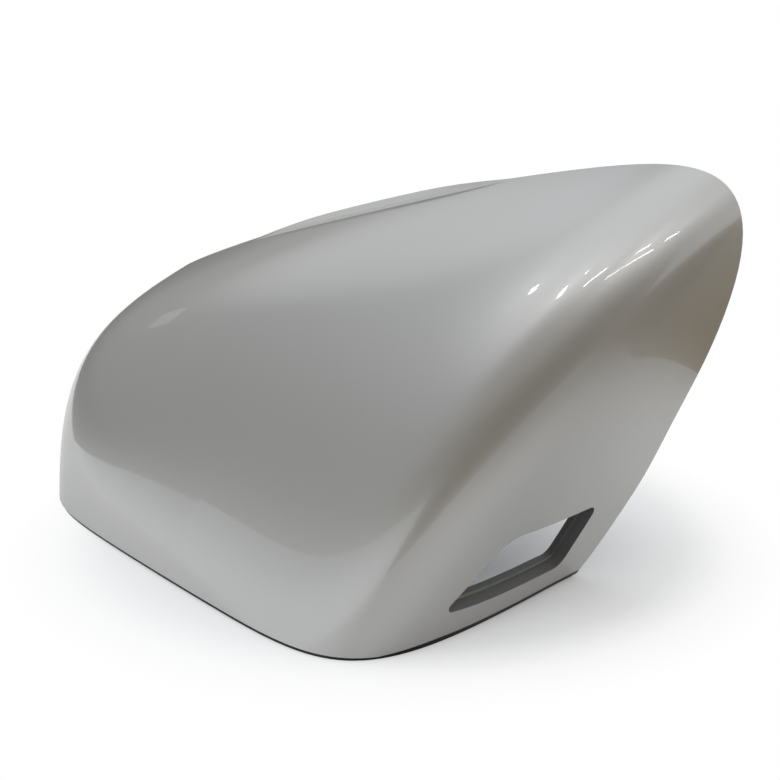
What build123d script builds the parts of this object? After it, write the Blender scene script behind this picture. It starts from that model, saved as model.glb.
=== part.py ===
from build123d import *
import math
import os

# Wing mirror cover: one moulded shell, lying on the rim that meets the mirror frame.
# +X points out of the inner end (towards the car), +Y towards the seam with the
# lower housing, +Z up. Lengths are millimetres and angles are degrees.

# The outside is six walls that meet in soft rounds about one inner point. Each wall
# has a turn (0 faces -Y, 90 faces +X), a lift above the level, and a reach.
point_drop = 18.0
front_turn = -12.5
front_lift = 12.5
front_reach = 109.2
slope_turn = 0.5
slope_lift = 35.0
slope_reach = 123.0
top_turn = -17.0
top_lift = 72.0
top_reach = 135.5
shoulder_turn = -54.5
shoulder_lift = 63.5
shoulder_reach = 121.0
outer_turn = -82.5
outer_lift = -25.5
outer_reach = 90.0
inner_turn = 88.5
inner_lift = -22.0
inner_reach = 75.9
soft_power = 5.7
firm_power = 6.7

# Shell, the seam line seen from the end, and the two edges.
wall = 2.6
seam_foot = -28.8
seam_slope = 0.605
seam_bend = 0.0042
lip_height = 1.0
lip_width = 8.5
lip_start = -77.0
lip_end = 71.0
lip_fade = 46.0
rim_line_height = 1.0
rim_line_depth = 0.7

# Lamp window in the inner end, with its collar. Its corners are measured in the plane
# of that wall, up from the rim and in from the foot of the seam.
window_low = 8.8
window_high = 28.0
window_tip = 60.7
window_shoulder = 44.2
window_far = 5.2
window_foot = 12.6
tip_round = 1.5
shoulder_round = 13.0
far_round = 2.5
foot_round = 5.0
collar_wall = 1.6
collar_depth = 5.2
ledge_depth = 3.4
ledge_width = 1.1

# Fixings and ribs on the hidden side.
hook_places = (-72.0, -12.0, 46.0)
hook_width = 13.0
hook_thick = 1.8
hook_gap = 3.2
hook_foot = 3.0
hook_top = 22.0
hook_root = 4.5
hook_barb = 2.4
tab_places = (-52.0, 22.0)
tab_drop = 15.0
tab_inset = 13.0
peg_places = (-46.0, 40.0)
peg_y = -58.0
peg_foot = 40.0
peg_radius = 3.0
peg_tip = 12.0
peg_lead = 0.9
peg_root_radius = 4.0
fin_width = 17.0
fin_thick = 1.6
fin_gap = 3.0
rib_places = (-84.0, -14.0, 70.0)
rib_thick = 1.5
rib_height = 4.5
rib_rim_gap = 26.0
rib_seam_gap = 15.0
long_rib_angle = 52.0

# Reach of the working grid past the finished edges, and how closely it is followed.
end_angle = 9.0
fan_low = -3.0
fan_high = 114.0
skin_steps = 36
band_steps = 30
fan_steps = 10
overlap = 0.5
room_share = 0.35
far = 400.0


def facing(turn, lift):
    """Unit direction of a wall from its turn and its lift."""
    level = math.cos(math.radians(lift))
    side = math.radians(turn)
    return Vector(level * math.sin(side), -level * math.cos(side), math.sin(math.radians(lift)))


soft_walls = [
    (facing(slope_turn, slope_lift), slope_reach),
    (facing(top_turn, top_lift), top_reach),
    (facing(shoulder_turn, shoulder_lift), shoulder_reach),
    (facing(inner_turn, inner_lift), inner_reach),
]
firm_walls = [
    (facing(front_turn, front_lift), front_reach),
    (facing(outer_turn, outer_lift), outer_reach),
]
inner_point = Vector(0, 0, -point_drop)


def fullness(offset):
    """1 on the outside of the cover and less inside, with its slope, at an offset from the inner point."""
    soft = [max(offset.dot(way) / reach, 0.0) for way, reach in soft_walls]
    firm = [max(offset.dot(way) / reach, 0.0) for way, reach in firm_walls]
    soft_sum = sum(share**soft_power for share in soft)
    soft_size = soft_sum ** (1 / soft_power)
    whole = soft_size**firm_power + sum(share**firm_power for share in firm)
    size = whole ** (1 / firm_power)
    slope = Vector(0, 0, 0)
    for share, (way, reach) in zip(soft, soft_walls):
        pull = (soft_size / size) ** (firm_power - 1) * (share / soft_size) ** (soft_power - 1)
        slope += way * (pull / reach)
    for share, (way, reach) in zip(firm, firm_walls):
        slope += way * ((share / size) ** (firm_power - 1) / reach)
    return size, slope


def skin_point(end, fan, inset, share=1.0):
    """Point of the outside at two angles about the inner point, moved in by an inset or a share."""
    level = math.sin(math.radians(end))
    way = Vector(
        -math.cos(math.radians(end)),
        -level * math.cos(math.radians(fan)),
        level * math.sin(math.radians(fan)),
    )
    size, slope = fullness(way)
    return inner_point + way * (share / size) - slope.normalized() * inset


def even(inset):
    """Same inset at every place."""
    return lambda x: inset


def ends(steps):
    """Angles from the outer end to the inner end, closest together where the skin bends most."""
    count = 20 * steps
    angles = [end_angle + (180 - 2 * end_angle) * i / count for i in range(count + 1)]
    places = [skin_point(angle, (fan_low + fan_high) / 2, 0) for angle in angles]
    ways = [fullness(place - inner_point)[1] for place in places]
    bends = [0.0]
    for i in range(count):
        turn = math.radians(ways[i].get_angle(ways[i + 1]))
        bends.append(bends[-1] + math.sqrt(turn * (places[i + 1] - places[i]).length))
    chosen = []
    for i in range(steps + 1):
        goal = bends[-1] * i / steps
        nearest = min(range(count + 1), key=lambda k: abs(bends[k] - goal))
        chosen.append(angles[nearest])
    return chosen


def section(end, inset_at, share):
    """Curve of the skin from the rim up to the seam, at one angle from the outer end."""
    points = []
    for j in range(fan_steps + 1):
        fan = fan_low + (fan_high - fan_low) * j / fan_steps
        points.append(skin_point(end, fan, inset_at(skin_point(end, fan, 0).X), share))
    return Edge.make_spline(points, parameters=[j / fan_steps for j in range(fan_steps + 1)])


def border(curves, faces, end, bands):
    """Edges of a lofted skin along the rim, for end 0, or past the seam, for end 1."""
    if bands:
        return [Edge.make_line(near @ end, after @ end) for near, after in zip(curves, curves[1:])]
    return faces.edges().sort_by_distance(curves[len(curves) // 2] @ end)[:1]


def layer(outer_at, inner_at, inner_share=1.0, bands=False):
    """Solid between two skins, each lofted from end to end, smooth or in narrow straight bands."""
    angles = ends(band_steps if bands else skin_steps)
    outer = [section(angle, outer_at, 1.0) for angle in angles]
    inner = [section(angle, inner_at, inner_share) for angle in angles]
    outside = Shell.make_loft([Wire([edge]) for edge in outer], ruled=bands).faces()
    inside = Shell.make_loft([Wire([edge]) for edge in inner], ruled=bands).faces()
    pairs = [(outer[0], inner[0]), (outer[-1], inner[-1])]
    for end in (0, 1):
        pairs += zip(border(outer, outside, end, bands), border(inner, inside, end, bands))
    sides = [Face.make_surface_from_curves(first, second) for first, second in pairs]
    return Solid(Shell(outside + inside + sides))


def crossing(start, way, inset):
    """Place where a straight line from a point inside the cover meets the skin at an inset."""
    near = 0.0
    beyond = far
    for _ in range(50):
        middle = (near + beyond) / 2
        if fullness(start + way * middle - inner_point)[0] < 1:
            near = middle
        else:
            beyond = middle
    meet = start + way * near
    slope = fullness(meet - inner_point)[1].normalized()
    return meet - way * (inset / way.dot(slope))


def seam_y(height):
    """Place of the seam line at a height."""
    return seam_foot + seam_slope * height - seam_bend * height**2


def seam_side(shift):
    """Everything on the seam side of the seam line, moved along Y by the shift."""
    low = -60.0
    high = 200.0
    bend_y = seam_y(low) + (seam_slope - 2 * seam_bend * low) * (high - low) / 2
    first = (0, seam_y(low) + shift, low)
    last = (0, seam_y(high) + shift, high)
    curve = Bezier(first, (0, bend_y + shift, (low + high) / 2), last)
    edge = Polyline(last, (0, far, high), (0, far, low), first)
    return extrude(make_face([curve, edge]), amount=far, dir=(1, 0, 0), both=True)


def slab(low, high):
    """Level slab between two heights."""
    return Box(2 * far, 2 * far, high - low, align=(Align.CENTER, Align.CENTER, Align.MIN)).moved(
        Location((0, 0, low))
    )


def plate(x, thick):
    """Upright plate across the cover at a place along X."""
    return Box(thick, 2 * far, 2 * far).moved(Location((x, 0, 0)))


# The plain shell: an even layer cut level at the rim and along the seam.
below = slab(-far, 0)
past_seam = seam_side(0)
core = layer(even(wall), even(0), room_share / 2, bands=True)
shell = layer(even(0), even(0), room_share) - core - below - past_seam


def lip_inset(x):
    """Height of the seam lip as an inset: full along the top, sinking under the skin at its ends."""
    along = min(max(min(x - lip_start, lip_end - x) / lip_fade, 0.0), 1.0)
    ease = along * along * (3 - 2 * along)
    return overlap - (lip_height + overlap) * ease


def seam_plan(x, gap):
    """Place in front of the seam's top edge, seen from above."""
    top = crossing(Vector(x, seam_y(0), 0), Vector(0, 0, 1), 0)
    return (x, seam_y(top.Z) - gap)


lip_front = ThreePointArc(
    seam_plan(lip_start, 0),
    seam_plan((lip_start + lip_end) / 2, lip_width),
    seam_plan(lip_end, 0),
)
lip_back = Polyline(lip_front @ 1, (lip_end, far), (lip_start, far), lip_front @ 0)
lip_zone = extrude(make_face([lip_front, lip_back]), amount=far) - past_seam
lip = layer(lip_inset, even(wall / 2)) & lip_zone
shell = shell + lip

# Thin unpainted line along the foot of the rim.
shell = shell - (layer(even(-2 * lip_height), even(rim_line_depth)) & slab(-1, rim_line_height))

# Lamp window through the inner end, its collar and the ledge the lamp sits on.
inner_way = facing(inner_turn, inner_lift)
across = Vector(0, 0, 1).cross(inner_way).normalized()
foot_x = (inner_reach - inner_way.Y * seam_foot - inner_way.Z * point_drop) / inner_way.X
window_plane = Plane(origin=(foot_x, seam_foot, 0), x_dir=across, z_dir=inner_way)
window_corners = [
    ((-window_tip, window_low), tip_round),
    ((-window_shoulder, window_high), shoulder_round),
    ((-window_far, window_high), far_round),
    ((-window_foot, window_low), foot_round),
]
outline = make_face(Polyline(*[corner for corner, _ in window_corners], close=True))
for corner, radius in window_corners:
    outline = fillet(outline.vertices().sort_by_distance(corner)[0], radius)


def window_bar(grow):
    """Bar through the window, grown or shrunk from its outline."""
    shape = offset(outline, grow) if grow else outline
    return extrude(window_plane * shape, amount=4 * collar_depth, both=True)


opening = window_bar(0)
collar = window_bar(collar_wall) & layer(even(wall / 2), even(collar_depth))
ledge = (opening - window_bar(-ledge_width)) & layer(even(ledge_depth), even(collar_depth))
shell = ((shell + (collar - below)) - opening) + ledge

# The room inside the shell, reaching a little into the wall so that fixings join it.
room = layer(even(wall - overlap), even(0), room_share) - below - past_seam


def hook(x):
    """Snap hook: an arm that stands off the long wall and carries a barb at its foot."""
    start = Vector(x, seam_foot, (hook_top + hook_foot) / 2)
    back = crossing(start, Vector(0, -1, 0), wall).Y + hook_gap
    front = back + hook_thick
    side = Polyline(
        (x, back - 3 * hook_gap, hook_top),
        (x, front, hook_top),
        (x, front, hook_foot + 2 * hook_barb),
        (x, front + hook_barb, hook_foot + 1.4 * hook_barb),
        (x, front, hook_foot),
        (x, back, hook_foot),
        (x, back, hook_top - hook_root),
        (x, back - 3 * hook_gap, hook_top - hook_root),
        close=True,
    )
    return extrude(make_face(side), amount=hook_width / 2, dir=(1, 0, 0), both=True) & room


def tab(x):
    """Snap tab that hangs from the top wall beside the seam."""
    top = crossing(Vector(x, seam_y(80) - tab_inset, 30), Vector(0, 0, 1), wall)
    back = top.Y
    front = back + hook_thick
    foot = top.Z - tab_drop
    side = Polyline(
        (x, back, top.Z + 3 * wall),
        (x, front, top.Z + 3 * wall),
        (x, front, foot + 2 * hook_barb),
        (x, front + hook_barb, foot + 1.4 * hook_barb),
        (x, front, foot),
        (x, back, foot),
        close=True,
    )
    return extrude(make_face(side), amount=hook_width / 2, dir=(1, 0, 0), both=True) & room


def peg(x):
    """Locating peg that hangs from the roof: a plain tip, a thicker root and crossed fins."""
    upright = (Align.CENTER, Align.CENTER, Align.MIN)
    tip = Cylinder(peg_radius, peg_tip + overlap, align=upright)
    tip = chamfer(tip.edges().group_by(Axis.Z)[0], peg_lead)
    root = Cylinder(peg_root_radius, far, align=upright)
    fins = Box(fin_width, fin_thick, far, align=upright) + Box(fin_thick, fin_width, far, align=upright)
    root = root.moved(Location((0, 0, peg_tip))) + fins.moved(Location((0, 0, peg_tip + fin_gap)))
    return (tip + root).moved(Location((x, peg_y, peg_foot))) & room


rib_zone = slab(rib_rim_gap, far) - seam_side(-rib_seam_gap)
rib_layer = layer(even(wall - overlap), even(wall + rib_height))
long_plate = Box(2 * far, far, rib_thick, align=(Align.CENTER, Align.MAX, Align.CENTER))
long_plate = long_plate.rotate(Axis.X, -long_rib_angle).moved(Location(inner_point))
fixings = [hook(x) for x in hook_places] + [tab(x) for x in tab_places] + [peg(x) for x in peg_places]
plates = [plate(x, rib_thick) for x in rib_places] + [long_plate]
ribs = [(one & rib_zone) & rib_layer for one in plates]
shell = shell + (fixings + ribs)

# Origin at the middle of the rim plane.
box = shell.bounding_box()
shell = shell.moved(Location((-box.center().X, -box.center().Y, -box.min.Z)))
shell.label = "cover_shell"

os.makedirs("parts", exist_ok=True)
export_step(shell, "parts/cover_shell.step")
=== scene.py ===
"""Wing mirror cover: gloss paint outside, unpainted moulded plastic inside, on a white table."""

import logging
import math
from dataclasses import dataclass
from enum import Enum
from typing import ClassVar

import bpy
import numpy as np
from mathutils import Euler, Matrix, Vector


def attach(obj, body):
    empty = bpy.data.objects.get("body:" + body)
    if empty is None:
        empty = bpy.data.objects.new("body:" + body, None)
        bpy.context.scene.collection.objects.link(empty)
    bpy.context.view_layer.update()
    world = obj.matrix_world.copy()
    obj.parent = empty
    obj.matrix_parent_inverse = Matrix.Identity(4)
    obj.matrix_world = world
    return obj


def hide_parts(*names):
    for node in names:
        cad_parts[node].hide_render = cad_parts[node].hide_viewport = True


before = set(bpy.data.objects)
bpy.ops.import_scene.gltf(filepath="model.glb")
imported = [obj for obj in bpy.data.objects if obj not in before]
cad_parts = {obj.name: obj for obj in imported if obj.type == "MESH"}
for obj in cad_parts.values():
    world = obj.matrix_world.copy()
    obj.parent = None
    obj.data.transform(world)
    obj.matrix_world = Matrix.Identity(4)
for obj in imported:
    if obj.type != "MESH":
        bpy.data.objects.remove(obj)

log = logging.getLogger("wing_mirror_cover")
MM = 0.001

Pair = tuple[float, float]
Place = tuple[float, float, float]
Colour = tuple[float, float, float]
Stops = tuple[tuple[float, Colour], ...]
Socket = bpy.types.NodeSocket


def heading(turn: float, lift: float) -> Vector:
    """Unit vector for a heading and a lift in degrees, 0 towards -Y and 90 towards +X."""
    side, rise = math.radians(turn), math.radians(lift)
    return Vector((math.cos(rise) * math.sin(side), -math.cos(rise) * math.cos(side), math.sin(rise)))


class Finish(Enum):
    """Finishes of the cover, in the order of its material slots."""

    PAINT = 0
    PLASTIC = 1
    # Near-black plastic in the rim groove: painted shade along the foot of the rim.
    RIM_LINE = 2


class Zone(Enum):
    """Zones of the moulding that are told apart by their place."""

    SKIN = 0
    LIP_STEP = 1
    SEAM_EDGE = 2
    LINING = 3
    LEDGE = 4
    RIM_LINE = 5
    HIDDEN = 6


@dataclass(frozen=True)
class Wall:
    """One wall of the outer form, given by where it faces and how far it reaches.

    Args:
        turn: Heading in degrees, 0 towards -Y and 90 towards +X.
        lift: Angle above the level in degrees.
        reach: Distance from the inner point in metres.
    """

    turn: float
    lift: float
    reach: float

    def facing(self) -> np.ndarray:
        """Unit vector that the wall faces along."""
        return np.array(heading(self.turn, self.lift))


@dataclass(frozen=True)
class OuterForm:
    """Rounded outer form of the cover, as a measure that is 1 on the painted surface."""

    soft_walls: tuple[Wall, ...] = (
        Wall(0.5, 35.0, 0.123),
        Wall(-17.0, 72.0, 0.1355),
        Wall(-54.5, 63.5, 0.121),
        Wall(88.5, -22.0, 0.0759),
    )
    firm_walls: tuple[Wall, ...] = (
        Wall(-12.5, 12.5, 0.1092),
        Wall(-82.5, -25.5, 0.090),
    )
    soft_power: float = 5.7
    firm_power: float = 6.7
    inner_point: Place = (-0.001036, 0.060482, -0.018)

    LEAST: ClassVar[float] = 1e-9
    STEPS: ClassVar[int] = 2

    def measure(self, places: np.ndarray) -> tuple[np.ndarray, np.ndarray]:
        """Measures places against the outer form.

        Args:
            places: Points in the row frame, one to a row.

        Returns:
            How far each point is to the surface as a share of the way, and the
            slope of that share.
        """
        offsets = places - np.array(self.inner_point)
        soft_ways = np.array([wall.facing() / wall.reach for wall in self.soft_walls])
        firm_ways = np.array([wall.facing() / wall.reach for wall in self.firm_walls])
        soft = np.maximum(offsets @ soft_ways.T, self.LEAST)
        firm = np.maximum(offsets @ firm_ways.T, self.LEAST)
        soft_size = (soft**self.soft_power).sum(1) ** (1 / self.soft_power)
        whole = soft_size**self.firm_power + (firm**self.firm_power).sum(1)
        size = whole ** (1 / self.firm_power)
        soft_pull = (soft / soft_size[:, None]) ** (self.soft_power - 1)
        soft_pull *= ((soft_size / size) ** (self.firm_power - 1))[:, None]
        firm_pull = (firm / size[:, None]) ** (self.firm_power - 1)
        return size, soft_pull @ soft_ways + firm_pull @ firm_ways

    def depth(self, places: np.ndarray) -> np.ndarray:
        """Measures how deep places lie, in two steps towards the surface.

        Args:
            places: Points in the row frame, one to a row.

        Returns:
            Depth of each point under the painted surface, in metres.
        """
        size, slope = self.measure(places)
        first = (1 - size) / np.linalg.norm(slope, axis=1)
        outward = slope / np.linalg.norm(slope, axis=1)[:, None]
        size, slope = self.measure(places + outward * first[:, None])
        return first + (1 - size) / np.linalg.norm(slope, axis=1)

    def outward(self, places: np.ndarray) -> np.ndarray:
        """Finds which way the surface above each place faces.

        Args:
            places: Points in the row frame, one to a row.

        Returns:
            Unit outward direction for each point.
        """
        for _ in range(self.STEPS):
            size, slope = self.measure(places)
            length = np.linalg.norm(slope, axis=1)[:, None]
            places = places + slope / length**2 * (1 - size)[:, None]
        slope = self.measure(places)[1]
        return slope / np.linalg.norm(slope, axis=1)[:, None]


class ShaderTree:
    """Small helper that adds and joins shader nodes in one tree."""

    COLUMN_WIDTH: ClassVar[int] = 180
    ROW_HEIGHT: ClassVar[int] = 40
    ROWS: ClassVar[int] = 5
    NEW_STOP: ClassVar[float] = 0.5

    def __init__(self, tree: bpy.types.NodeTree) -> None:
        """Keeps the tree that nodes are added to."""
        self.tree = tree
        self.column = 0

    @classmethod
    def of_material(cls, name: str) -> tuple[bpy.types.Material, "ShaderTree"]:
        """Starts a material with an empty tree.

        Args:
            name: Name of the material.

        Returns:
            The material and the helper for its tree.
        """
        material = bpy.data.materials.new(name)
        material.use_nodes = True
        material.node_tree.nodes.clear()
        return material, cls(material.node_tree)

    def add(self, kind: str, inputs: dict | None = None, **settings: object) -> bpy.types.Node:
        """Adds a node.

        Args:
            kind: Node type name.
            inputs: Values of its input sockets, by name or number.
            settings: Values of the node's own properties.

        Returns:
            The new node.
        """
        node = self.tree.nodes.new(kind)
        node.location = (self.COLUMN_WIDTH * self.column, -self.ROW_HEIGHT * (self.column % self.ROWS))
        self.column += 1
        for name, value in settings.items():
            setattr(node, name, value)
        for name, value in (inputs or {}).items():
            node.inputs[name].default_value = value
        return node

    def join(self, start: Socket, end: Socket) -> None:
        """Joins an output socket to an input socket."""
        self.tree.links.new(start, end)

    def group(self, tree: bpy.types.NodeTree, inputs: dict[str, float], place: Socket) -> bpy.types.Node:
        """Places a node group.

        Args:
            tree: The group's own tree.
            inputs: Values of its inputs, by name.
            place: Coordinates that the group reads.

        Returns:
            The group's node.
        """
        node = self.add("ShaderNodeGroup", inputs, node_tree=tree)
        self.join(place, node.inputs["Place"])
        return node

    def blend(self, first: Colour | None = None, second: Colour | None = None) -> bpy.types.Node:
        """Adds a mix of two colours.

        Args:
            first: Colour at factor 0, or None where a node gives it.
            second: Colour at factor 1, or None where a node gives it.

        Returns:
            The mix node.
        """
        colours = {"A": first, "B": second}
        given = {name: (*colour, 1) for name, colour in colours.items() if colour is not None}
        return self.add("ShaderNodeMix", given, data_type="RGBA")

    def calc(self, operation: str) -> bpy.types.Node:
        """Adds a node that works out the named operation."""
        return self.add("ShaderNodeMath", operation=operation)

    def soft_step(self, bounds: Pair, levels: Pair = (0.0, 1.0)) -> bpy.types.Node:
        """Adds a smooth step.

        Args:
            bounds: Values at which the step starts and ends.
            levels: What it puts out before and after.

        Returns:
            The map range node.
        """
        sockets = dict(zip(("From Min", "From Max", "To Min", "To Max"), (*bounds, *levels)))
        return self.add("ShaderNodeMapRange", sockets, interpolation_type="SMOOTHSTEP")

    def agree(self, way: Socket, turn: float, lift: float) -> Socket:
        """Compares a direction with a heading.

        Args:
            way: Unit direction.
            turn: Heading in degrees.
            lift: Lift in degrees.

        Returns:
            1 along the heading, 0 across it.
        """
        node = self.add("ShaderNodeVectorMath", {1: heading(turn, lift)}, operation="DOT_PRODUCT")
        self.join(way, node.inputs[0])
        return node.outputs["Value"]

    def away(self, place: Socket, middle: Place) -> Socket:
        """Measures how far a place is from a point.

        Args:
            place: Coordinates on the surface.
            middle: The point.

        Returns:
            The distance in metres.
        """
        node = self.add("ShaderNodeVectorMath", {1: middle}, operation="DISTANCE")
        self.join(place, node.inputs[0])
        return node.outputs["Value"]

    def ramp(self, stops: Stops, value: Socket, curve: str = "EASE") -> Socket:
        """Adds a colour ramp.

        Args:
            stops: Place and colour of each stop, in order.
            value: Value that runs along the ramp.
            curve: Kind of curve between the stops.

        Returns:
            The colour.
        """
        node = self.add("ShaderNodeValToRGB")
        elements = node.color_ramp.elements
        node.color_ramp.interpolation = curve
        while len(elements) < len(stops):
            elements.new(self.NEW_STOP)
        for element, (place, colour) in zip(elements, stops):
            element.position = place
            element.color = (*colour, 1)
        self.join(value, node.inputs["Fac"])
        return node.outputs["Color"]

    def put_out(self, shader: Socket) -> None:
        """Makes a shader the surface of the material."""
        self.join(shader, self.add("ShaderNodeOutputMaterial").inputs["Surface"])


class SharedEffects:
    """Node groups that both finishes of the cover use."""

    _made: ClassVar[dict[str, bpy.types.NodeTree]] = {}

    @classmethod
    def _start(cls, name: str, inputs: dict[str, float], outputs: tuple[str, ...]) -> ShaderTree:
        """Starts a group with a place input, value inputs and value outputs.

        Args:
            name: Name of the group.
            inputs: Default of each value input, by name.
            outputs: Names of the outputs.

        Returns:
            The helper for the new group's tree.
        """
        group = bpy.data.node_groups.new(name, "ShaderNodeTree")
        group.interface.new_socket("Place", in_out="INPUT", socket_type="NodeSocketVector")
        for label, value in inputs.items():
            socket = group.interface.new_socket(label, in_out="INPUT", socket_type="NodeSocketFloat")
            socket.default_value = value
        for label in outputs:
            group.interface.new_socket(label, in_out="OUTPUT", socket_type="NodeSocketFloat")
        cls._made[name] = group
        return ShaderTree(group)

    @classmethod
    def waves(cls) -> bpy.types.NodeTree:
        """Makes the group for uneven height over a surface, coarse and fine, with a slow mottle.

        Returns:
            The group's tree, made once.
        """
        if "surface_waves" in cls._made:
            return cls._made["surface_waves"]
        kit = cls._start("surface_waves", {"Coarse": 200.0, "Fine": 900.0, "Mix": 0.3}, ("Height", "Mottle"))
        start, end = kit.add("NodeGroupInput"), kit.add("NodeGroupOutput")
        coarse = kit.add("ShaderNodeTexNoise", {"Detail": 2.0, "Roughness": 0.45})
        fine = kit.add("ShaderNodeTexNoise", {"Detail": 3.0, "Roughness": 0.6})
        mottle = kit.add("ShaderNodeTexNoise", {"Scale": 14.0, "Detail": 3.0, "Roughness": 0.5})
        height = kit.add("ShaderNodeMix", data_type="FLOAT")
        for noise in (coarse, fine, mottle):
            kit.join(start.outputs["Place"], noise.inputs["Vector"])
        kit.join(start.outputs["Coarse"], coarse.inputs["Scale"])
        kit.join(start.outputs["Fine"], fine.inputs["Scale"])
        kit.join(start.outputs["Mix"], height.inputs["Factor"])
        kit.join(coarse.outputs["Fac"], height.inputs["A"])
        kit.join(fine.outputs["Fac"], height.inputs["B"])
        kit.join(height.outputs["Result"], end.inputs["Height"])
        kit.join(mottle.outputs["Fac"], end.inputs["Mottle"])
        return kit.tree

    @classmethod
    def specks(cls) -> bpy.types.NodeTree:
        """Makes the group for sparse small round specks of dust.

        Returns:
            The group's tree, made once.
        """
        if "dust_specks" in cls._made:
            return cls._made["dust_specks"]
        kit = cls._start("dust_specks", {"Scale": 90.0, "Share": 0.05, "Radius": 0.05}, ("Mask",))
        start, end = kit.add("NodeGroupInput"), kit.add("NodeGroupOutput")
        cells = kit.add("ShaderNodeTexVoronoi", {"Randomness": 1.0})
        colour = kit.add("ShaderNodeSeparateColor")
        chosen, near = kit.calc("LESS_THAN"), kit.calc("LESS_THAN")
        both = kit.calc("MULTIPLY")
        kit.join(start.outputs["Place"], cells.inputs["Vector"])
        kit.join(start.outputs["Scale"], cells.inputs["Scale"])
        kit.join(cells.outputs["Color"], colour.inputs["Color"])
        kit.join(colour.outputs["Red"], chosen.inputs[0])
        kit.join(start.outputs["Share"], chosen.inputs[1])
        kit.join(cells.outputs["Distance"], near.inputs[0])
        kit.join(start.outputs["Radius"], near.inputs[1])
        kit.join(chosen.outputs[0], both.inputs[0])
        kit.join(near.outputs[0], both.inputs[1])
        kit.join(both.outputs[0], end.inputs["Mask"])
        return kit.tree


@dataclass(frozen=True)
class Relief:
    """Fine relief of a finish: orange peel in paint, grain in plastic.

    Args:
        coarse: Scale of the coarse waves, in cells to the metre.
        fine: Scale of the fine waves, in cells to the metre.
        mix: Share of the fine waves.
        height: Height of the waves in metres.
        strength: Strength of the bump.
        rough: Lowest and highest roughness.
    """

    coarse: float
    fine: float
    mix: float
    height: float
    strength: float
    rough: Pair

    def waves(self, kit: ShaderTree, place: Socket) -> bpy.types.Node:
        """Spreads the waves over the surface.

        Args:
            kit: Helper for the material's tree.
            place: Coordinates on the piece.

        Returns:
            The node that puts out Height and Mottle.
        """
        sizes = {"Coarse": self.coarse, "Fine": self.fine, "Mix": self.mix}
        return kit.group(SharedEffects.waves(), sizes, place)

    def shape(self, kit: ShaderTree, waves: bpy.types.Node, shader: bpy.types.Node) -> None:
        """Lets the waves drive a shader's roughness and bump.

        Args:
            kit: Helper for the material's tree.
            waves: Node that puts out Height and Mottle.
            shader: The surface's shader.
        """
        rough = kit.add("ShaderNodeMapRange", {"To Min": self.rough[0], "To Max": self.rough[1]})
        bump = kit.add("ShaderNodeBump", {"Strength": self.strength, "Distance": self.height})
        kit.join(waves.outputs["Mottle"], rough.inputs["Value"])
        kit.join(rough.outputs["Result"], shader.inputs["Roughness"])
        kit.join(waves.outputs["Height"], bump.inputs["Height"])
        kit.join(bump.outputs["Normal"], shader.inputs["Normal"])


@dataclass(frozen=True)
class Dust:
    """Sparse specks of dust on a finish.

    Args:
        scale: Scale of the cells that may hold a speck, in cells to the metre.
        share: Share of the cells that hold one.
        radius: Radius of a speck, as a share of its cell.
        tone: Colour of the specks.
    """

    scale: float
    share: float
    radius: float
    tone: Colour

    def settle(self, kit: ShaderTree, place: Socket, below: Socket) -> Socket:
        """Lays the specks over a colour.

        Args:
            kit: Helper for the material's tree.
            place: Coordinates on the piece.
            below: Colour under the dust.

        Returns:
            The colour with the specks.
        """
        sizes = {"Scale": self.scale, "Share": self.share, "Radius": self.radius}
        specks = kit.group(SharedEffects.specks(), sizes, place)
        dusty = kit.blend(second=self.tone)
        kit.join(below, dusty.inputs["A"])
        kit.join(specks.outputs["Mask"], dusty.inputs["Factor"])
        return dusty.outputs["Result"]


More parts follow.
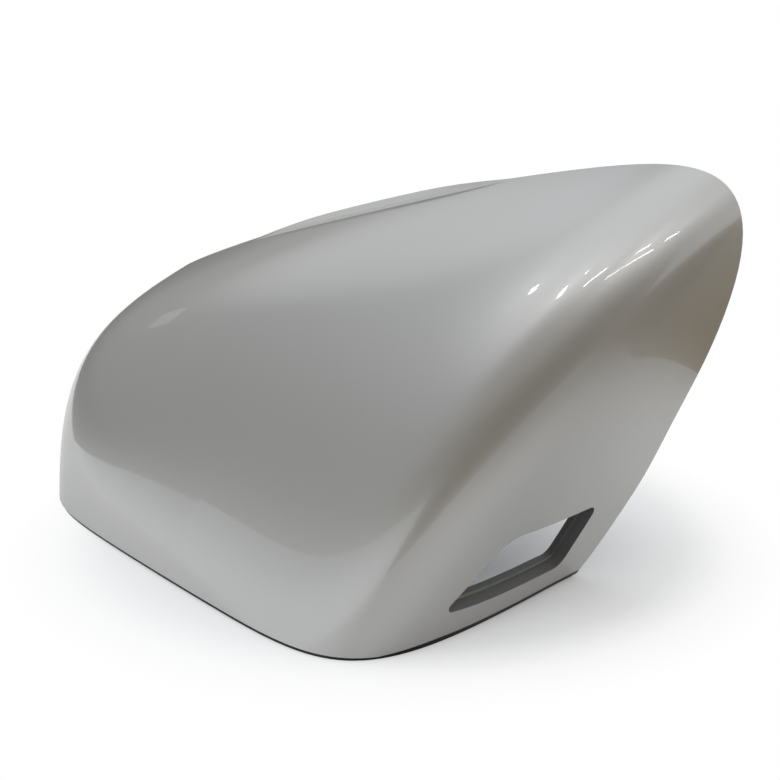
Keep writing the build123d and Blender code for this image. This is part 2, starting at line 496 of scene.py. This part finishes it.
@dataclass(frozen=True)
class PearlPaint:
    """Light warm grey pearl paint under a clear coat, with an uncoated near-black band of painted shade at
    the foot of the inner end.
    """

    light: Colour = (0.50, 0.49, 0.473)
    deep: Colour = (0.485, 0.475, 0.458)
    pearl: float = 0.62
    ior: float = 1.5
    coat_roughness: float = 0.03
    peel: Relief = Relief(170.0, 3200.0, 0.35, height=0.012 * MM, strength=1.0, rough=(0.30, 0.36))
    nibs: Dust = Dust(62.0, 0.035, 0.026, tone=(0.24, 0.225, 0.20))
    # Uncoated band at the foot of the inner end, coloured near black as painted shade where the rim meets the
    # table.
    bare_painted_shade: Colour = (0.012, 0.012, 0.013)
    bare_painted_shade_height: float = 2.1 * MM
    bare_painted_shade_from: float = 72.0 * MM
    bare_painted_shade_to: float = 84.0 * MM

    def material(self) -> bpy.types.Material:
        """Builds the paint: even pearl base, faint orange peel, a few dust nibs and the near-black band of
        painted shade at the foot.

        Returns:
            The material.
        """
        material, kit = ShaderTree.of_material("pearl_grey_paint")
        place = kit.add("ShaderNodeTexCoord").outputs["Object"]
        waves = self.peel.waves(kit, place)
        tone = kit.blend(self.deep, self.light)
        # Where the paint mask is 0 the colour is the near-black painted shade, without coat.
        coated = kit.blend(first=self.bare_painted_shade)
        painted = self._painted(kit, place)
        shader = kit.add(
            "ShaderNodeBsdfPrincipled",
            {"Metallic": self.pearl, "IOR": self.ior, "Coat Roughness": self.coat_roughness},
        )
        kit.join(waves.outputs["Mottle"], tone.inputs["Factor"])
        kit.join(self.nibs.settle(kit, place, tone.outputs["Result"]), coated.inputs["B"])
        kit.join(painted, coated.inputs["Factor"])
        kit.join(coated.outputs["Result"], shader.inputs["Base Color"])
        kit.join(painted, shader.inputs["Coat Weight"])
        self.peel.shape(kit, waves, shader)
        kit.put_out(shader.outputs["BSDF"])
        return material

    def _painted(self, kit: ShaderTree, place: Socket) -> Socket:
        """Marks where the paint is, above an uncoated near-black band of painted shade that widens towards
        the inner end.

        Args:
            kit: Helper for the material's tree.
            place: Coordinates on the piece.

        Returns:
            1 on the paint and 0 on the band of painted shade.
        """
        parts = kit.add("ShaderNodeSeparateXYZ")
        edge = kit.add(
            "ShaderNodeMapRange",
            {"From Min": self.bare_painted_shade_from, "From Max": self.bare_painted_shade_to, "To Min": 0.0, "To Max": self.bare_painted_shade_height},
        )
        painted = kit.calc("GREATER_THAN")
        kit.join(place, parts.inputs[0])
        kit.join(parts.outputs["X"], edge.inputs["Value"])
        kit.join(parts.outputs["Z"], painted.inputs[0])
        kit.join(edge.outputs["Result"], painted.inputs[1])
        return painted.outputs[0]


@dataclass(frozen=True)
class BarePlastic:
    """Dark grey moulded plastic with a fine grain and a little paint mist."""

    name: str = "bare_grey_plastic"
    light: Colour = (0.160, 0.162, 0.165)
    deep: Colour = (0.118, 0.120, 0.123)
    mist: Colour = (0.30, 0.285, 0.245)
    ior: float = 1.48
    grain: Relief = Relief(700.0, 2400.0, 0.5, height=0.06 * MM, strength=0.6, rough=(0.42, 0.6))
    dust: Dust = Dust(240.0, 0.12, 0.07, tone=(0.17, 0.17, 0.165))

    def material(self) -> bpy.types.Material:
        """Builds the plastic: grain, mottling, paint mist near the edges and dust.

        Returns:
            The material.
        """
        material, kit = ShaderTree.of_material(self.name)
        place = kit.add("ShaderNodeTexCoord").outputs["Object"]
        mist = kit.add("ShaderNodeAttribute", attribute_name=CoverShell.MIST)
        waves = self.grain.waves(kit, place)
        tone = kit.blend(self.deep, self.light)
        cloud = kit.calc("MULTIPLY")
        misty = kit.blend(second=self.mist)
        shader = kit.add("ShaderNodeBsdfPrincipled", {"IOR": self.ior})
        kit.join(waves.outputs["Mottle"], tone.inputs["Factor"])
        kit.join(mist.outputs["Fac"], cloud.inputs[0])
        kit.join(waves.outputs["Height"], cloud.inputs[1])
        kit.join(tone.outputs["Result"], misty.inputs["A"])
        kit.join(cloud.outputs[0], misty.inputs["Factor"])
        kit.join(self.dust.settle(kit, place, misty.outputs["Result"]), shader.inputs["Base Color"])
        self.grain.shape(kit, waves, shader)
        kit.put_out(shader.outputs["BSDF"])
        return material


@dataclass
class CoverShell:
    """The moulded shell with its paint line, lip, window collar and fixings."""

    form: OuterForm
    wall: float = 2.6 * MM
    skin_slack: float = 0.45 * MM
    skin_agree: float = 0.85
    edge_slack: float = 0.10 * MM
    lining_slack: float = 0.45 * MM
    lining_agree: float = -0.93
    ledge_depth: float = 3.4 * MM
    ledge_agree: float = 0.9
    rim_line_height: float = 1.0 * MM
    rim_line_depth: Pair = (0.21 * MM, 1.05 * MM)
    # Near-black colour of the groove along the rim's foot: painted shade in the groove, far darker than the
    # rest of the unpainted plastic.
    rim_groove_painted_shade: Colour = (0.014, 0.014, 0.015)
    step_slack: float = 0.02 * MM
    step_foot: float = 2.0 * MM
    lip_height: float = 1.0 * MM
    lip_lean: Place = (0.0, -0.22, 0.24)
    lip_twist: float = 36.0 * MM
    lean_limits: Pair = (-0.4, 1.9)
    lean_rise: float = 4.0
    seam_foot: float = 31.682 * MM
    seam_slope: float = 0.605
    seam_bend: float = 4.2
    smooth_angle: float = 32.0
    merge_gap: float = 0.002 * MM
    seam_mist_reach: float = 16.0 * MM
    rim_mist_reach: float = 8.0 * MM
    rim_mist: float = 0.6
    mist_power: float = 1.5
    # Value set on the ledge faces, above full, which lightens them strongly towards the mist colour.
    ledge_lightening: float = 1.7

    MIST: ClassVar[str] = "paint_mist"
    NODE: ClassVar[str] = "cover_shell"

    def build(self) -> bpy.types.Object:
        """Builds and dresses the shell from the moulding.

        Returns:
            The finished piece, riding on the part's body.
        """
        shell = self._copy()
        self._merge(shell)
        zones = self._zones(shell.data)
        self._polish(shell.data, zones)
        self._mist(shell.data, zones)
        self._dress(shell.data, zones)
        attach(shell, "root")
        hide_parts(self.NODE)
        return shell

    def _copy(self) -> bpy.types.Object:
        """Copies the moulding's mesh into a new object at the origin.

        Returns:
            The new object, the only one selected.
        """
        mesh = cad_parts[self.NODE].data.copy()
        mesh.materials.clear()
        shell = bpy.data.objects.new("painted_cover", mesh)
        bpy.context.scene.collection.objects.link(shell)
        bpy.ops.object.select_all(action="DESELECT")
        shell.select_set(True)
        bpy.context.view_layer.objects.active = shell
        return shell

    def _merge(self, shell: bpy.types.Object) -> None:
        """Joins the loose triangles and smooths them up to the crease angle.

        Args:
            shell: The active object.
        """
        if shell.data.has_custom_normals:
            bpy.ops.mesh.customdata_custom_splitnormals_clear()
        bpy.ops.object.mode_set(mode="EDIT")
        bpy.ops.mesh.select_all(action="SELECT")
        bpy.ops.mesh.remove_doubles(threshold=self.merge_gap)
        bpy.ops.object.mode_set(mode="OBJECT")
        bpy.ops.object.shade_smooth_by_angle(angle=math.radians(self.smooth_angle))

    def _seam_gap(self, places: np.ndarray) -> np.ndarray:
        """Distance of each place in from the seam line, along Y."""
        height = places[:, 2]
        return self.seam_foot + self.seam_slope * height - self.seam_bend * height**2 - places[:, 1]

    @staticmethod
    def _vectors(items: bpy.types.bpy_prop_collection, name: str) -> np.ndarray:
        """Reads a vector from every item.

        Args:
            items: Vertices or faces of a mesh.
            name: Name of the vector.

        Returns:
            The vectors, one to a row.
        """
        values = np.empty(len(items) * 3)
        items.foreach_get(name, values)
        return values.reshape(-1, 3)

    @staticmethod
    def _loops(mesh: bpy.types.Mesh) -> tuple[np.ndarray, np.ndarray]:
        """Reads what the face corners belong to.

        Args:
            mesh: The merged mesh.

        Returns:
            Vertex number and face number of each face corner.
        """
        corner = np.empty(len(mesh.loops), dtype=np.int64)
        mesh.loops.foreach_get("vertex_index", corner)
        totals = np.empty(len(mesh.polygons), dtype=np.int64)
        mesh.polygons.foreach_get("loop_total", totals)
        return corner, np.repeat(np.arange(len(totals)), totals)

    def _zones(self, mesh: bpy.types.Mesh) -> np.ndarray:
        """Sorts the faces by where they lie on the moulding; a later zone takes over from an earlier one.

        Args:
            mesh: The merged mesh.

        Returns:
            A zone number for each face.
        """
        middles = self._vectors(mesh.polygons, "center")
        facings = self._vectors(mesh.polygons, "normal")
        height = middles[:, 2]
        depth = self.form.depth(middles)
        agree = (self.form.outward(middles) * facings).sum(1)
        at_ledge = np.abs(depth - self.ledge_depth) < self.edge_slack
        at_lining = np.abs(depth - self.wall) < self.lining_slack
        at_seam = np.abs(self._seam_gap(middles)) < self.edge_slack
        at_rim = height < self.rim_line_height + self.edge_slack
        grooved = (depth > self.rim_line_depth[0]) & (depth < self.rim_line_depth[1])
        zones = np.full(len(middles), Zone.HIDDEN.value)
        zones[at_ledge & (agree > self.ledge_agree)] = Zone.LEDGE.value
        zones[at_lining & (agree < self.lining_agree)] = Zone.LINING.value
        zones[(depth < self.step_slack) & (height > self.step_foot)] = Zone.LIP_STEP.value
        zones[(depth < self.skin_slack) & (agree > self.skin_agree)] = Zone.SKIN.value
        zones[at_seam & (depth < self.wall)] = Zone.SEAM_EDGE.value
        zones[at_rim & grooved] = Zone.RIM_LINE.value
        return zones

    def _polish(self, mesh: bpy.types.Mesh, zones: np.ndarray) -> None:
        """Gives the skin and its lining the exact directions of the form, and leans the raised lip.

        Args:
            mesh: The merged mesh.
            zones: Zone number of each face.
        """
        corner, face = self._loops(mesh)
        places = self._vectors(mesh.vertices, "co")
        outward = self.form.outward(places)[corner]
        proud = np.clip(-self.form.depth(places)[corner] / self.lip_height, 0, 1)
        upward = np.clip(self.lean_rise * outward[:, 2], 0, 1)
        twist = np.clip(1 - places[corner, 0] / self.lip_twist, *self.lean_limits)
        leaning = outward + (proud * upward * twist)[:, None] * np.array(self.lip_lean)
        leaning /= np.linalg.norm(leaning, axis=1)[:, None]
        chosen = np.zeros((len(corner), 3))
        skin = zones[face] == Zone.SKIN.value
        lining = zones[face] == Zone.LINING.value
        chosen[skin] = leaning[skin]
        chosen[lining] = -outward[lining]
        mesh.normals_split_custom_set(chosen.tolist())

    def _mist(self, mesh: bpy.types.Mesh, zones: np.ndarray) -> None:
        """Marks how much paint mist reached each face corner of the hidden side, and sets the ledge faces
        lighter still.

        Args:
            mesh: The merged mesh.
            zones: Zone number of each face.
        """
        places = self._vectors(mesh.vertices, "co")
        near_seam = 1 - np.clip(self._seam_gap(places) / self.seam_mist_reach, 0, 1)
        near_rim = 1 - np.clip(places[:, 2] / self.rim_mist_reach, 0, 1)
        amount = np.maximum(near_seam, self.rim_mist * near_rim) ** self.mist_power
        corner, face = self._loops(mesh)
        # The ledge faces are lightened strongly towards the mist colour, giving a light line along the
        # window's step.
        spread = np.where(zones[face] == Zone.LEDGE.value, self.ledge_lightening, amount[corner])
        layer = mesh.attributes.new(self.MIST, "FLOAT", "CORNER")
        layer.data.foreach_set("value", spread.astype(np.float32))

    def _dress(self, mesh: bpy.types.Mesh, zones: np.ndarray) -> None:
        """Puts the paint and the plastic on their faces, and near-black painted shade in the rim groove.

        Args:
            mesh: The merged mesh.
            zones: Zone number of each face.
        """
        line = self.rim_groove_painted_shade
        mesh.materials.append(PearlPaint().material())
        mesh.materials.append(BarePlastic().material())
        # The rim groove gets plastic in a near-black tone: painted shade along the foot.
        mesh.materials.append(BarePlastic("rim_groove_painted_shade_plastic", light=line, deep=line, mist=line).material())
        painted = zones <= Zone.SEAM_EDGE.value
        slots = np.where(painted, Finish.PAINT.value, Finish.PLASTIC.value)
        slots[zones == Zone.RIM_LINE.value] = Finish.RIM_LINE.value
        mesh.polygons.foreach_set("material_index", slots.astype(np.int32))
        mesh.update()


def hang_lamp(name: str, size: Pair, level: float, place: Vector, turn: Euler) -> bpy.types.Object:
    """Hangs a rectangular lamp with an evenly bright face.

    Args:
        name: Name of the lamp.
        size: Width and height in metres.
        level: Brightness of its face, where 1 is white.
        place: Middle of its face.
        turn: Turn of the lamp, which shines along its own -Z.

    Returns:
        The lamp.
    """
    data = bpy.data.lights.new(name, "AREA")
    data.shape = "RECTANGLE"
    data.size, data.size_y = size
    data.energy = math.pi * size[0] * size[1] * level
    lamp = bpy.data.objects.new(name, data)
    lamp.location, lamp.rotation_euler = place, turn
    bpy.context.scene.collection.objects.link(lamp)
    return lamp


@dataclass(frozen=True)
class Lamp:
    """One rectangular lamp.

    Args:
        name: Name of the lamp.
        turn: Heading of the lamp from the cover in degrees, 0 towards -Y and 90 towards +X.
        lift: Angle above the level in degrees.
        away: Distance in metres.
        size: Width and height in metres.
        level: Brightness of its face, where 1 is white.
        mirrored: Whether gloss shows the lamp.
    """

    name: str
    turn: float
    lift: float
    away: float
    size: Pair
    level: float
    mirrored: bool = True

    def place(self, target: Vector) -> None:
        """Hangs the lamp so that it faces a point.

        Args:
            target: The point.
        """
        way = heading(self.turn, self.lift)
        turn = way.to_track_quat("Z", "Y").to_euler()
        lamp = hang_lamp(self.name, self.size, self.level, target + way * self.away, turn)
        lamp.visible_glossy = self.mirrored


@dataclass(frozen=True)
class Tube:
    """One thin lamp on the ceiling, mirrored in the rounded ridge of the cover.

    Args:
        name: Name of the lamp.
        first: Heading and lift of its first end from the ridge, in degrees.
        last: Heading and lift of its last end from the ridge, in degrees.
        width: Width in metres.
        level: Brightness of its face, where 1 is white.
    """

    name: str
    first: Pair
    last: Pair
    width: float
    level: float

    AWAY: ClassVar[float] = 1.7

    def place(self, ridge: Vector) -> None:
        """Hangs the lamp so that it faces the ridge.

        Args:
            ridge: A point on the ridge.
        """
        first, last = (ridge + heading(*end) * self.AWAY for end in (self.first, self.last))
        middle, along = (first + last) / 2, last - first
        facing = (middle - ridge).normalized()
        across = facing.cross(along.normalized())
        turn = Matrix((along.normalized(), across, facing)).transposed()
        hang_lamp(self.name, (along.length, self.width), self.level, middle, turn.to_euler())


@dataclass(frozen=True)
class Card:
    """One upright studio card on the table, out of the picture.

    Args:
        name: Name of the card.
        first: Foot of its first end on the table.
        last: Foot of its last end on the table.
        heights: Height of the card at its first end and at its last.
        foot: Colour along its lower edge.
        head: Colour along its upper edge.
    """

    name: str
    first: Pair
    last: Pair
    heights: Pair
    foot: Colour
    head: Colour

    def place(self) -> None:
        """Stands the card on the table, for gloss and light alone."""
        mesh = bpy.data.meshes.new(self.name)
        first_head, last_head = (*self.first, self.heights[0]), (*self.last, self.heights[1])
        mesh.from_pydata([(*self.first, 0), (*self.last, 0), last_head, first_head], [], [(0, 1, 2, 3)])
        mesh.uv_layers.new(name="card").data.foreach_set("uv", (0, 0, 1, 0, 1, 1, 0, 1))
        card = bpy.data.objects.new(self.name, mesh)
        bpy.context.scene.collection.objects.link(card)
        mesh.materials.append(self._face())
        card.visible_camera = False
        card.visible_shadow = False

    def _face(self) -> bpy.types.Material:
        """Builds the card's even face, which shades from its foot to its head.

        Returns:
            The material.
        """
        material, kit = ShaderTree.of_material(self.name + "_face")
        place = kit.add("ShaderNodeTexCoord")
        parts = kit.add("ShaderNodeSeparateXYZ")
        level = kit.soft_step((0.0, 1.0))
        tone = kit.blend(self.foot, self.head)
        glow = kit.add("ShaderNodeEmission", {"Strength": 1.0})
        kit.join(place.outputs["UV"], parts.inputs[0])
        kit.join(parts.outputs["Y"], level.inputs["Value"])
        kit.join(level.outputs["Result"], tone.inputs["Factor"])
        kit.join(tone.outputs["Result"], glow.inputs["Color"])
        kit.put_out(glow.outputs["Emission"])
        return material


@dataclass(frozen=True)
class Patch:
    """One soft patch of another brightness on the dome.

    Args:
        turn: Heading of its middle in degrees, 0 towards -Y and 90 towards +X.
        lift: Angle of its middle above the level in degrees.
        full: Angle from its middle up to which it covers the dome, in degrees.
        end: Angle from its middle at which it has faded out, in degrees.
        tone: Its colour.
    """

    turn: float
    lift: float
    full: float
    end: float
    tone: Colour

    def lay(self, kit: ShaderTree, way: Socket, below: Socket) -> Socket:
        """Lays the patch over the dome's colour.

        Args:
            kit: Helper for the dome's shader tree.
            way: Direction from the middle of the dome.
            below: Colour under the patch.

        Returns:
            The colour with the patch.
        """
        share = kit.soft_step((math.cos(math.radians(self.end)), math.cos(math.radians(self.full))))
        tone = kit.blend(second=self.tone)
        kit.join(kit.agree(way, self.turn, self.lift), share.inputs["Value"])
        kit.join(share.outputs["Result"], tone.inputs["Factor"])
        kit.join(below, tone.inputs["A"])
        return tone.outputs["Result"]


@dataclass
class Table:
    """Round white table that fades into the white background, and shows from above alone."""

    radius: float = 1.15
    corners: int = 128
    drop: float = 0.05 * MM
    colour: Colour = (0.875, 0.88, 0.89)
    fade_middle: Place = (0.02, 0.032, 0.0)
    seen_fade: tuple[Pair, ...] = ((0.045, 0.0), (0.075, 0.28), (0.09, 0.45), (0.106, 0.86), (0.122, 1.0))
    mirror_fade: tuple[Pair, ...] = ((0.10, 0.0), (0.66, 1.0))
    # Painted shade: the table's colour darkens round this point beside the inner end, so gloss and light see
    # a dimmer table there.
    painted_shade_middle: Place = (0.60, 0.06, 0.0)
    painted_shade_range: Pair = (0.25, 0.45)
    painted_shade_colour: Colour = (0.57, 0.55, 0.515)

    def build(self) -> None:
        """Lays the table just under the cover."""
        bpy.ops.object.select_all(action="DESELECT")
        bpy.ops.mesh.primitive_circle_add(
            vertices=self.corners, radius=self.radius, fill_type="NGON", location=(0, 0, -self.drop)
        )
        table = bpy.context.object
        table.name = "white_table"
        table.data.materials.append(self._top())

    def _top(self) -> bpy.types.Material:
        """Builds the table top: matt near the cover, plain white farther off, with a painted shade that
        darkens its colour beside the inner end.

        Returns:
            The material.
        """
        material, kit = ShaderTree.of_material("white_table_top")
        place = kit.add("ShaderNodeTexCoord").outputs["Object"]
        outside_painted_shade = kit.soft_step(self.painted_shade_range)
        tone = kit.blend(self.painted_shade_colour, self.colour)
        matt = kit.add("ShaderNodeBsdfDiffuse")
        bright = kit.add("ShaderNodeEmission", {"Color": (1, 1, 1, 1), "Strength": 1.0})
        above = kit.add("ShaderNodeMixShader")
        under = kit.add("ShaderNodeNewGeometry")
        clear = kit.add("ShaderNodeBsdfTransparent")
        sided = kit.add("ShaderNodeMixShader")
        kit.join(kit.away(place, self.painted_shade_middle), outside_painted_shade.inputs["Value"])
        kit.join(outside_painted_shade.outputs["Result"], tone.inputs["Factor"])
        kit.join(tone.outputs["Result"], matt.inputs["Color"])
        kit.join(self._white_share(kit, place, outside_painted_shade.outputs["Result"]), above.inputs["Fac"])
        kit.join(matt.outputs["BSDF"], above.inputs[1])
        kit.join(bright.outputs["Emission"], above.inputs[2])
        kit.join(under.outputs["Backfacing"], sided.inputs["Fac"])
        kit.join(above.outputs["Shader"], sided.inputs[1])
        kit.join(clear.outputs["BSDF"], sided.inputs[2])
        kit.put_out(sided.outputs["Shader"])
        return material

    def _white_share(self, kit: ShaderTree, place: Socket, outside_painted_shade: Socket) -> Socket:
        """Works out the share of plain white for what is seen, which is 0 for light.

        Args:
            kit: Helper for the table's shader tree.
            place: Coordinates on the table.
            outside_painted_shade: Share of the table's own colour that the painted shade beside the inner end
                leaves, 1 outside it.

        Returns:
            The share, which starts close to the cover for the camera and farther off for mirror images.
        """
        path = kit.add("ShaderNodeLightPath")
        away = kit.away(place, self.fade_middle)
        seen = kit.ramp(tuple((at, (share,) * 3) for at, share in self.seen_fade), away, "LINEAR")
        mirrored = kit.ramp(tuple((at, (share,) * 3) for at, share in self.mirror_fade), away)
        through = kit.calc("MAXIMUM")
        outer, painted_shade_mirror_share = kit.calc("MULTIPLY"), kit.calc("MULTIPLY")
        share = kit.add("ShaderNodeMix", data_type="FLOAT")
        kit.join(path.outputs["Is Glossy Ray"], through.inputs[0])
        kit.join(path.outputs["Is Transmission Ray"], through.inputs[1])
        kit.join(mirrored, outer.inputs[0])
        kit.join(through.outputs[0], outer.inputs[1])
        # Inside the painted shade the mirror images also get less of the plain white.
        kit.join(outer.outputs[0], painted_shade_mirror_share.inputs[0])
        kit.join(outside_painted_shade, painted_shade_mirror_share.inputs[1])
        kit.join(path.outputs["Is Camera Ray"], share.inputs["Factor"])
        kit.join(painted_shade_mirror_share.outputs[0], share.inputs["A"])
        kit.join(seen, share.inputs["B"])
        return share.outputs["Result"]


@dataclass
class Dome:
    """Dome round the table, for gloss and light alone: dim low down, warm on one side, bright overhead."""

    radius: float = 2.4
    segments: int = 96
    rings: int = 48
    cool_half: Stops = (
        (0.02, (0.20, 0.195, 0.19)),
        (0.11, (0.215, 0.212, 0.207)),
        (0.24, (0.325, 0.325, 0.322)),
        (0.40, (0.345, 0.35, 0.35)),
        (0.56, (0.385, 0.40, 0.41)),
        (0.72, (0.455, 0.48, 0.50)),
        (0.93, (1.12, 1.17, 1.21)),
    )
    warm_half: Stops = (
        (0.02, (0.138, 0.108, 0.060)),
        (0.42, (0.165, 0.134, 0.084)),
        (0.62, (0.295, 0.275, 0.25)),
        (0.80, (0.40, 0.395, 0.385)),
        (0.94, (0.99, 1.02, 1.05)),
    )
    warm_turn: float = 50.0
    warm_range: Pair = (0.2, 0.75)
    patches: tuple[Patch, ...] = (
        Patch(120.0, 44.0, 14.0, 38.0, (0.99, 1.02, 1.05)),
        Patch(22.0, 55.0, 6.0, 22.0, (0.36, 0.35, 0.34)),
    )
    back_glow: Pair = (-120.0, 37.0)
    back_glow_range: Pair = (0.935, 0.99)
    back_glow_gain: float = 2.0

    def build(self) -> None:
        """Hangs the dome."""
        bpy.ops.object.select_all(action="DESELECT")
        bpy.ops.mesh.primitive_uv_sphere_add(
            segments=self.segments, ring_count=self.rings, radius=self.radius
        )
        dome = bpy.context.object
        dome.name = "room_dome"
        dome.data.materials.append(self._face())
        dome.visible_camera = False

    def _face(self) -> bpy.types.Material:
        """Builds the dome's glowing face from its two halves, its patches and the glow at the back.

        Returns:
            The material.
        """
        material, kit = ShaderTree.of_material("room_dome_paint")
        place = kit.add("ShaderNodeTexCoord")
        unit = kit.add("ShaderNodeVectorMath", operation="NORMALIZE")
        way = unit.outputs["Vector"]
        parts = kit.add("ShaderNodeSeparateXYZ")
        share = kit.soft_step(self.warm_range)
        tone = kit.blend()
        gain = kit.soft_step(self.back_glow_range, (1.0, self.back_glow_gain))
        glow = kit.add("ShaderNodeEmission")
        kit.join(place.outputs["Object"], unit.inputs[0])
        kit.join(way, parts.inputs[0])
        kit.join(kit.agree(way, self.warm_turn, 0.0), share.inputs["Value"])
        kit.join(share.outputs["Result"], tone.inputs["Factor"])
        kit.join(kit.ramp(self.cool_half, parts.outputs["Z"]), tone.inputs["A"])
        kit.join(kit.ramp(self.warm_half, parts.outputs["Z"]), tone.inputs["B"])
        colour = tone.outputs["Result"]
        for patch in self.patches:
            colour = patch.lay(kit, way, colour)
        kit.join(colour, glow.inputs["Color"])
        kit.join(kit.agree(way, *self.back_glow), gain.inputs["Value"])
        kit.join(gain.outputs["Result"], glow.inputs["Strength"])
        kit.put_out(glow.outputs["Emission"])
        return material


@dataclass
class Studio:
    """White table in a dim room, with soft light from above, and the camera."""

    target: Place = (0.0, 0.0, 0.05)
    ridge: Place = (0.1044, 0.0097, 0.0923)
    camera_place: Place = (0.25330, -0.24955, 0.13914)
    camera_turn: float = 39.877
    camera_lift: float = 14.521
    camera_near: float = 0.01
    sensor: float = 36.0
    lens: float = 55.385
    lamps: tuple[Lamp, ...] = (
        Lamp("soft_key", -70.0, 48.0, 1.3, (0.6, 0.6), 2.6, mirrored=False),
        Lamp("wall_lamp", -104.0, 19.0, 1.7, (0.16, 0.07), 0.3),
    )
    tubes: tuple[Tube, ...] = (
        Tube("ceiling_lamp_outer", (-71.7, 61.7), (-72.1, 63.4), 0.07, 19.0),
        Tube("ceiling_lamp_middle", (-17.5, 70.4), (-27.0, 72.6), 0.06, 21.0),
        Tube("ceiling_spot", (-14.5, 76.95), (-10.5, 77.25), 0.035, 26.0),
        Tube("ceiling_tube", (22.0, 70.1), (42.0, 71.3), 0.035, 21.0),
        Tube("ceiling_tube_long", (53.2, 61.1), (84.2, 45.2), 0.02, 18.0),
        Tube("ceiling_tube_short", (71.5, 60.3), (80.5, 55.2), 0.03, 18.0),
        Tube("ceiling_tube_far", (89.5, 43.3), (94.9, 38.7), 0.03, 19.0),
    )
    cards: tuple[Card, ...] = (
        Card(
            "white_card", (-0.95, -0.52), (0.42, -1.0), (0.16, 0.32),
            foot=(1.26, 1.33, 1.38), head=(0.80, 0.84, 0.86),
        ),
        Card(
            "white_card_outer", (-0.98, -0.10), (-0.95, -0.52), (0.004, 0.15),
            foot=(1.16, 1.22, 1.26), head=(0.60, 0.63, 0.65),
        ),
        Card(
            "dark_card", (0.215, 0.118), (1.1, 0.085), (0.10, 0.10),
            foot=(0.165, 0.128, 0.068), head=(0.20, 0.165, 0.11),
        ),
        Card(
            "dark_card_back", (0.04, 0.222), (0.215, 0.118), (0.10, 0.10),
            foot=(0.20, 0.156, 0.084), head=(0.36, 0.33, 0.27),
        ),
        Card(
            "pale_card", (1.15, 0.25), (0.40, 1.05), (0.45, 0.45),
            foot=(0.9, 0.9, 0.9), head=(0.75, 0.75, 0.75),
        ),
    )

    def build(self) -> None:
        """Builds the table, room, light and camera."""
        Table().build()
        Dome().build()
        self._world()
        for card in self.cards:
            card.place()
            log.info("card %s", card.name)
        for lamp in self.lamps:
            lamp.place(Vector(self.target))
            log.info("lamp %s", lamp.name)
        for tube in self.tubes:
            tube.place(Vector(self.ridge))
            log.info("tube %s", tube.name)
        self._camera()

    @staticmethod
    def _world() -> None:
        """Makes the background plain white."""
        world = bpy.data.worlds.new("studio")
        bpy.context.scene.world = world
        world.use_nodes = True
        world.node_tree.nodes.clear()
        kit = ShaderTree(world.node_tree)
        white = kit.add("ShaderNodeBackground", {"Color": (1, 1, 1, 1), "Strength": 1.0})
        out = kit.add("ShaderNodeOutputWorld")
        kit.join(white.outputs["Background"], out.inputs["Surface"])

    def _camera(self) -> None:
        """Sets up the camera at the photograph's viewing angle."""
        data = bpy.data.cameras.new("view")
        data.sensor_width = self.sensor
        data.lens = self.lens
        data.clip_start = self.camera_near
        camera = bpy.data.objects.new("view", data)
        turn, lift = math.radians(self.camera_turn), math.radians(self.camera_lift)
        camera.location = self.camera_place
        camera.rotation_euler = (math.pi / 2 - lift, 0.0, turn)
        bpy.context.scene.collection.objects.link(camera)
        bpy.context.scene.camera = camera
        bpy.context.scene.view_settings.view_transform = "Standard"


def main() -> None:
    """Builds the cover and its studio."""
    logging.basicConfig(level=logging.INFO, format="%(message)s")
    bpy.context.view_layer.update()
    shell = CoverShell(OuterForm()).build()
    log.info("piece %s: %d faces", shell.name, len(shell.data.polygons))
    Studio().build()


if __name__ == "__main__":
    main()
